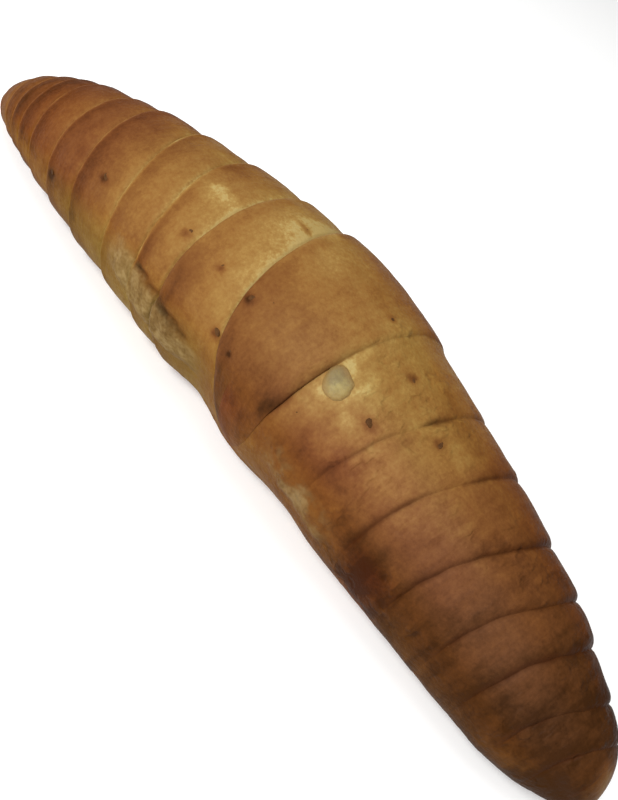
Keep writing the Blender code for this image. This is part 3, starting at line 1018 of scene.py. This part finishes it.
def with_bare_crumb(crust, colour):
    """The crust's colour, torn open to the crumb on the two strips."""
    coarse = noise(crust.place, mix(crust.left, *CRUMB_COARSE), 2.0, 0.6)
    fine = noise(crust.place, mix(crust.left, *CRUMB_FINE), 1.0)
    crumbs = coarse * CRUMB_SHARES[0] + fine * CRUMB_SHARES[1] + crust.middling * CRUMB_SHARES[2]
    scraps = smooth(crust.middling + crust.broad * SCRAPS_BROADLY, *CRUMB_SCRAPS)
    bare = crust.torn * mix(crust.left, scraps * BARE_SHARES[0], BARE_SHARES[1])
    bare = bare * (1.0 - crust.crevice * CREVICE_COVERED)
    return mix_colour(bare, colour, colour_ramp(crumbs * 0.5 + 0.5, CRUMB_COLOURS))


# The crust's finish: hardly shiny, and less so by this share on the left half's dry rims,
# which are this wide in mm.  Then the relief that is too fine for the mesh.
ROUGHNESS = 0.52
ROUGHNESS_MOTTLE = 0.06
SHINE = 0.03
DRY_SHINE_LOSS = 0.9333
DRY_RIM_REACH = 2.4
GRAIN_RELIEF = 0.55
STREAK_RELIEF = 0.85
MIDDLING_RELIEF = 0.7
PUFF_RELIEF = 1.3
RELIEF_STRENGTH = 0.7
RELIEF_HEIGHT = 0.20 * MM


def crust_material():
    material, shader, place = new_material("baked crust")
    crust = Crust(place)
    line, shade = painted_crease_shade(crust)
    bake = baked_by_place(crust) + baked_edges(crust)
    # Painted shade: behind the right half's creases, and down in the crevice over the left torn strip.
    bake = bake + shade * SHADE_BROWNER + crust.crevice * CREVICE_PAINTED_SHADE
    bake = uneven_bake(crust, bake)

    low = low_share(crust)
    colour = mix_colour(low, colour_ramp(bake, BAKE_COLOURS), colour_ramp(bake, LOW_COLOURS))
    # The painted crease shade: a dark red brown line in each of the right half's creases.
    colour = mix_colour((line * LINE_DARKER).math("MINIMUM", LINE_DARKEST), colour, CREASE_SHADE_COLOUR)
    colour = with_bare_crumb(crust, tinted(crust, colour, low))

    # The shine itself is multiplied on last, because only there does the export read it.
    dry_rim = hump(crust.from_edge, 0.0, DRY_RIM_REACH) * crust.left * smooth(crust.turns, *RIM_STARTS)
    shine = (1.0 - dry_rim * DRY_SHINE_LOSS) * SHINE
    height = crust.grain * GRAIN_RELIEF + crust.streaks * STREAK_RELIEF
    height = height + crust.middling * MIDDLING_RELIEF + crust.puffs * PUFF_RELIEF
    fill_in(shader, {
        "Base Color": colour,
        "Roughness": crust.mottle * ROUGHNESS_MOTTLE + ROUGHNESS,
        "Specular IOR Level": shine,
        "Normal": bumped(height, RELIEF_STRENGTH, RELIEF_HEIGHT),
    })
    return material


CRUST = crust_material()
roll = made_plain("rye_roll", bpy.data.meshes.new("dough"), winding_tree(), {**ROLL_SIZES, "Crust": CRUST})
close_tips(roll.data)
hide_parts("roll")
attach(roll, "root")


# ---------------------------------------------------------------------------
# Bran flecks.  Flakes of rye bran from the flour lie in the crust; the heat has
# curled and darkened them.  They are thin, uneven flakes half sunk in the dough.
# ---------------------------------------------------------------------------
SEED = 12

# Flecks on the back, and very small ones nearly all round: how far along in mm, between
# which angles, between which lengths in mm, and their width as a share of the length.
BACK_FLECK_COUNT = 12
BACK_FLECK_REACH = 70.0
BACK_FLECK_ANGLES = (-30.0, 60.0)
BACK_FLECK_LENGTHS = (1.5, 2.6)
BACK_FLECK_WIDTH = 0.6
SPECK_COUNT = 70
SPECK_REACH = 84.0
SPECK_ANGLES = (-50.0, 215.0)
SPECK_LENGTHS = (0.25, 0.6)
SPECK_WIDTH = 0.7

# A flake's size before its ragged edge is added, as a share; its thickness as a share of
# its width; and the waves a metre of its edge.
FLAKE_SHARE = 0.68
FLECK_THICKNESS = 0.20
FLAKE_WAVES = 900.0
FLECK_SINK = 0.03 * MM
ABOVE_CRUST = 80.0 * MM

BRAN_COLOURS = [(0.2, (0.044, 0.018, 0.006)), (0.8, (0.105, 0.046, 0.014))]
BRAN_ROUGHNESS = 0.6
BRAN_MOTTLE = 0.08
BRAN_SHINE = 0.05
BRAN_RELIEF_STRENGTH = 0.6
BRAN_RELIEF_HEIGHT = 0.1 * MM


def place_on(surface, along, round_degrees):
    """The point of the crust at a place along the roll and round it, and its normal."""
    half = "Right" if along > 0.0 else "Left"
    far = abs(along) / ROLL_SIZES["Half length"]
    share = 1.0 - ROLL_SIZES[half + " taper"] * far ** ROLL_SIZES[half + " taper power"]
    lift = ROLL_SIZES["End lift"]
    core_height = (ROLL_SIZES["Half height"] - lift) * share + lift
    core = Vector((along - ROLL_MIDDLE[0], -ROLL_MIDDLE[1], core_height))
    core.y -= ROLL_SIZES["Bow"] * far ** 2
    angle = math.radians(round_degrees)
    sideways = ROLL_SIZES["Half width"] * math.cos(angle)
    outward = Vector((0.0, sideways, ROLL_SIZES["Half height"] * math.sin(angle)))
    outward.normalize()
    point, normal, _, _ = surface.ray_cast(core + outward * ABOVE_CRUST, -outward)
    return point, normal


def fleck_places(surface):
    """Where each fleck lies: its point, its normal, a length, a width and a turn."""
    chance = random.Random(SEED)
    flecks = list(FRONT_FLECKS)
    for _ in range(BACK_FLECK_COUNT):
        angle = chance.uniform(*BACK_FLECK_ANGLES)
        length = chance.uniform(*BACK_FLECK_LENGTHS)
        along = chance.uniform(-BACK_FLECK_REACH, BACK_FLECK_REACH)
        flecks.append((along, angle, length, length * BACK_FLECK_WIDTH))
    for _ in range(SPECK_COUNT):
        length = chance.uniform(*SPECK_LENGTHS)
        along = chance.uniform(-SPECK_REACH, SPECK_REACH)
        flecks.append((along, chance.uniform(*SPECK_ANGLES), length, length * SPECK_WIDTH))
    places = []
    for along, angle, length, width in flecks:
        point, normal = place_on(surface, along * MM, angle)
        if point is not None:
            sunk = point - normal * FLECK_SINK
            length, width = length * FLAKE_SHARE * MM, width * FLAKE_SHARE * MM
            places.append((sunk, normal, length, width, chance.uniform(0.0, math.tau)))
    return places


def fleck_hosts(places):
    """A mesh of bare points that carry each fleck's size and lie."""
    hosts = bpy.data.meshes.new("fleck hosts")
    hosts.from_pydata([tuple(place[0]) for place in places], [], [])
    lie = hosts.attributes.new("lie", "FLOAT_VECTOR", "POINT")
    size = hosts.attributes.new("size", "FLOAT_VECTOR", "POINT")
    for index, (_, normal, length, width, turn) in enumerate(places):
        across = normal.orthogonal().normalized()
        across.rotate(Matrix.Rotation(turn, 3, normal))
        axes = Matrix((across, normal.cross(across), normal)).transposed()
        lie.data[index].vector = axes.to_euler("XYZ")
        size.data[index].vector = (length / 2.0, width / 2.0, FLECK_THICKNESS * width / 2.0)
    return hosts


def fleck_tree():
    """Geometry nodes that lay one uneven flake on each host point."""
    inputs = {"Hosts": "Geometry", "Raggedness": "Float", "Bran": "Material"}
    tree, given = new_group("strew the bran", "GeometryNodeTree", {"Flecks": "Geometry"}, inputs)
    flake = result(tree, "GeometryNodeMeshIcoSphere", {"Radius": 1.0, "Subdivisions": 2}, "Mesh")
    lie, size = (
        result(tree, "GeometryNodeInputNamedAttribute", {"Name": name}, data_type="FLOAT_VECTOR")
        for name in ("lie", "size")
    )
    hosted = {"Points": given["Hosts"], "Instance": flake, "Rotation": lie, "Scale": size}
    laid = result(tree, "GeometryNodeInstanceOnPoints", hosted)
    real = result(tree, "GeometryNodeRealizeInstances", {"Geometry": laid})
    waves = {"Vector": result(tree, "GeometryNodeInputPosition"), "Scale": FLAKE_WAVES, "Detail": 1.0}
    ragged = result(tree, "ShaderNodeTexNoise", waves, "Color")
    shift = result(tree, "ShaderNodeVectorMath", {0: ragged, 1: (0.5, 0.5, 0.5)}, operation="SUBTRACT")
    reach = result(tree, "ShaderNodeSeparateXYZ", {"Vector": size}, "X") * given["Raggedness"]
    shift = result(tree, "ShaderNodeVectorMath", {0: shift, "Scale": reach}, operation="SCALE")
    uneven = result(tree, "GeometryNodeSetPosition", {"Geometry": real, "Offset": shift})
    painted = result(tree, "GeometryNodeSetMaterial", {"Geometry": uneven, "Material": given["Bran"]})
    add_node(tree, "NodeGroupOutput", {"Flecks": painted})
    return tree


def bran_material():
    material, shader, place = new_material("scorched bran")
    mottle, grain = baked_grain(place)
    fill_in(shader, {
        "Base Color": colour_ramp(mottle * 0.5 + 0.5, BRAN_COLOURS),
        "Roughness": mottle * BRAN_MOTTLE + BRAN_ROUGHNESS,
        "Specular IOR Level": BRAN_SHINE,
        "Normal": bumped(grain, BRAN_RELIEF_STRENGTH, BRAN_RELIEF_HEIGHT),
    })
    return material


crust_surface = BVHTree.FromObject(roll, bpy.context.evaluated_depsgraph_get())
fleck_values = {"Raggedness": 1.0, "Bran": bran_material()}
flecks = made_plain("bran_flecks", fleck_hosts(fleck_places(crust_surface)), fleck_tree(), fleck_values)
flecks.data.shade_smooth()
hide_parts("roll")
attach(flecks, "root")


# ---------------------------------------------------------------------------
# The pale lump in the crust beside the tongue, a grain of coarse salt.  It is
# rounded by the steam, half see-through, and the crust has risen round it.
# ---------------------------------------------------------------------------
LUMP_ALONG = 19.1
LUMP_ROUND = 133.0
LUMP_TURN = math.radians(52.0)
LUMP_SIZE = Vector((5.2 * MM, 6.2 * MM, 2.1 * MM))
LUMP_SINK = 0.36 * MM
LUMP_TAPER = 0.16
LUMP_SUBDIVISIONS = 5

# Its worn facets: how far out they lie, and how much of the round is taken off there;
# and the uneven wear over them, as strength and fineness.
FACET_COUNT = 11
FACET_REACHES = (0.80, 0.93)
FACET_TAKEN_OFF = 0.38
LUMP_WEAR = [(0.04, 2.2), (0.03, 5.0)]

# The salt's colours from grey to pale; the pale end is partly painted light, shining through the grain
# onto its lower side.
SALT_AND_LIT_THROUGH_COLOURS = [(0.2, (0.150, 0.110, 0.054)), (0.5, (0.188, 0.145, 0.062)), (0.8, (0.290, 0.230, 0.085))]
SALT_CLOUDS = (700.0, 2.0)
CLOUD_SHARE = 0.42
MOTTLE_SHARE = 0.22
LUMP_RIM_COLOUR = (0.215, 0.130, 0.042)
RIM_TO_SALT = (0.14, 0.50)
RIM_FRAY = 0.06
SALT_ROUGHNESS = 0.45
SALT_MOTTLE = 0.10
SALT_SHINE = 0.12
SALT_CLEARNESS = 0.25
SALT_LIGHT_REACH = (0.9, 0.7, 0.4)
SALT_LIGHT_DEPTH = 0.8 * MM
SALT_RELIEF_STRENGTH = 0.5
SALT_RELIEF_HEIGHT = 0.12 * MM


def lump_mesh():
    """A flattened, faceted pebble, made as a sphere with its sides pressed flat."""
    mesh = bpy.data.meshes.new("salt_lump")
    pebble = bmesh.new()
    bmesh.ops.create_icosphere(pebble, subdivisions=LUMP_SUBDIVISIONS, radius=1.0)
    chance = random.Random(SEED)
    facets = []
    for _ in range(FACET_COUNT):
        facing = [chance.uniform(-1.0, 1.0), chance.uniform(-1.0, 1.0), chance.uniform(-0.2, 1.0)]
        facets.append((Vector(facing).normalized(), chance.uniform(*FACET_REACHES)))
    for vertex in pebble.verts:
        for facing, reach in facets:
            over = vertex.co.dot(facing) - reach
            if over > 0.0:
                vertex.co -= facing * over * FACET_TAKEN_OFF
        worn = [strength * rough.noise(vertex.co * fineness) for strength, fineness in LUMP_WEAR]
        vertex.co *= 1.0 + sum(worn)
        vertex.co.x *= LUMP_SIZE.x / 2.0 * (1.0 + LUMP_TAPER * vertex.co.y)
        vertex.co.y *= LUMP_SIZE.y / 2.0
        vertex.co.z *= LUMP_SIZE.z / 2.0
    pebble.to_mesh(mesh)
    pebble.free()
    rise = mesh.attributes.new("rise", "FLOAT", "POINT")
    for vertex in mesh.vertices:
        rise.data[vertex.index].value = vertex.co.z / LUMP_SIZE.z
    mesh.shade_smooth()
    return mesh


def salt_material(middle, downhill):
    """Cloudy salt, greyer at its upper side and paler towards its lower side, where the painted light that
    shines through it comes out.
    """
    material, shader, place = new_material("cloudy salt")
    parts = add_node(place.tree, "ShaderNodeSeparateXYZ", {"Vector": place})
    # Painted light: paler towards the lower side, where light shines through the grain.
    lit_through_below = 0.0
    for axis, name in enumerate("XYZ"):
        off_middle = Field(place.tree, parts.outputs[name]) - middle[axis]
        lit_through_below = lit_through_below + off_middle * (downhill[axis] / LUMP_SIZE.y)
    mottle, grain = baked_grain(place)
    cloudy = lit_through_below + mottle * MOTTLE_SHARE + noise(place, *SALT_CLOUDS) * CLOUD_SHARE + 0.5
    bare = smooth(attribute(place.tree, "rise") + mottle * RIM_FRAY, *RIM_TO_SALT)
    fill_in(shader, {
        "Base Color": mix_colour(bare, LUMP_RIM_COLOUR, colour_ramp(cloudy, SALT_AND_LIT_THROUGH_COLOURS)),
        "Roughness": mottle * SALT_MOTTLE + SALT_ROUGHNESS,
        "Specular IOR Level": SALT_SHINE,
        "Subsurface Weight": SALT_CLEARNESS,
        "Subsurface Radius": SALT_LIGHT_REACH,
        "Subsurface Scale": SALT_LIGHT_DEPTH,
        "Normal": bumped(grain + mottle, SALT_RELIEF_STRENGTH, SALT_RELIEF_HEIGHT),
    })
    return material


lump_place, lump_normal = place_on(crust_surface, LUMP_ALONG * MM, LUMP_ROUND)
lump_along = (Vector((1.0, 0.0, 0.0)) - lump_normal * lump_normal.x).normalized()
lump_down = lump_along.cross(lump_normal).normalized()
lump_down *= -math.copysign(1.0, lump_down.z)
lump_down = lump_down * math.cos(LUMP_TURN) + lump_along * math.sin(LUMP_TURN)
lump_along = lump_down.cross(lump_normal).normalized()
lump_axes = Matrix((lump_along, lump_down, lump_along.cross(lump_down))).transposed().to_4x4()
lump_axes.translation = lump_place - lump_normal * LUMP_SINK
salt = placed("salt_lump", lump_mesh())
salt.data.transform(lump_axes)
salt.data.materials.append(salt_material(lump_place, lump_down))
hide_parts("roll")
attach(salt, "root")


# ---------------------------------------------------------------------------
# The table under the roll, plain and pale.  It carries the roll, takes its shadow,
# and glows a little, so that it is nearly white.
# ---------------------------------------------------------------------------
FLOOR_HALF = 2.0
FLOOR_COLOUR = (0.96, 0.96, 0.955, 1.0)
FLOOR_ROUGHNESS = 0.8
FLOOR_GLOW = 0.10
WHITE = (1.0, 1.0, 1.0, 1.0)

floor_mesh = bpy.data.meshes.new("floor")
floor_sheet = bmesh.new()
bmesh.ops.create_grid(floor_sheet, x_segments=1, y_segments=1, size=FLOOR_HALF)
floor_sheet.to_mesh(floor_mesh)
floor_sheet.free()
floor = placed("floor", floor_mesh)
floor_paint, floor_shader, _ = new_material("pale floor")
fill_in(floor_shader, {
    "Base Color": FLOOR_COLOUR,
    "Roughness": FLOOR_ROUGHNESS,
    "Emission Color": WHITE,
    "Emission Strength": FLOOR_GLOW,
})
floor_mesh.materials.append(floor_paint)


# ---------------------------------------------------------------------------
# Light and camera.  One large soft light stands at the front left, and the room gives
# the rest; the right end's darker look is painted shade in the crust.  The camera is near,
# above the front of the roll, and turned so that the roll runs down the picture.
# ---------------------------------------------------------------------------
VIEW_AZIMUTH = math.radians(26.94)
VIEW_ELEVATION = math.radians(40.17)
VIEW_ROLL = math.radians(32.28)
VIEW_DISTANCE = 157.11 * MM
VIEW_TARGET = Vector((10.13 * MM, -1.88 * MM, 12.94 * MM))
FOCAL_LENGTH = 38.25
SENSOR_WIDTH = 36.0
NEAREST_SEEN = 5.0 * MM

KEY_PLACE = Vector((-0.12, -0.65, 0.61))
KEY_SIZE = 0.50
KEY_POWER = 8.8
TOP_PLACE = Vector((0.05, 0.05, 0.90))
TOP_SIZE = 0.80
TOP_POWER = 2.8
ROOM_STRENGTH = 0.42


def looking_from(azimuth, elevation, roll_angle, target, distance):
    """A camera's matrix: azimuth 0 looks along +Y, and the roll turns the picture."""
    back = Vector((
        math.sin(azimuth) * math.cos(elevation),
        -math.cos(azimuth) * math.cos(elevation),
        math.sin(elevation),
    ))
    right = Vector((math.cos(azimuth), math.sin(azimuth), 0.0))
    up = back.cross(right)
    turned_right = right * math.cos(roll_angle) + up * math.sin(roll_angle)
    turned_up = up * math.cos(roll_angle) - right * math.sin(roll_angle)
    matrix = Matrix((turned_right, turned_up, back)).transposed().to_4x4()
    matrix.translation = target + back * distance
    return matrix


lens = bpy.data.cameras.new("camera")
lens.lens = FOCAL_LENGTH
lens.sensor_width = SENSOR_WIDTH
lens.clip_start = NEAREST_SEEN
camera = placed("camera", lens)
camera.matrix_world = looking_from(VIEW_AZIMUTH, VIEW_ELEVATION, VIEW_ROLL, VIEW_TARGET, VIEW_DISTANCE)
bpy.context.scene.camera = camera

LAMPS = [("key", KEY_PLACE, KEY_SIZE, KEY_POWER), ("top", TOP_PLACE, TOP_SIZE, TOP_POWER)]
for name, place, size, power in LAMPS:
    lamp = bpy.data.lights.new(name, "AREA")
    lamp.shape = "DISK"
    lamp.size = size
    lamp.energy = power
    light = placed(name, lamp)
    light.location = place
    light.rotation_euler = place.to_track_quat("Z", "Y").to_euler()

room = bpy.data.worlds.new("room")
room.use_nodes = True
fill_in(room.node_tree.nodes["Background"], {"Color": WHITE, "Strength": ROOM_STRENGTH})
bpy.context.scene.world = room
bpy.context.scene.view_settings.view_transform = "Standard"
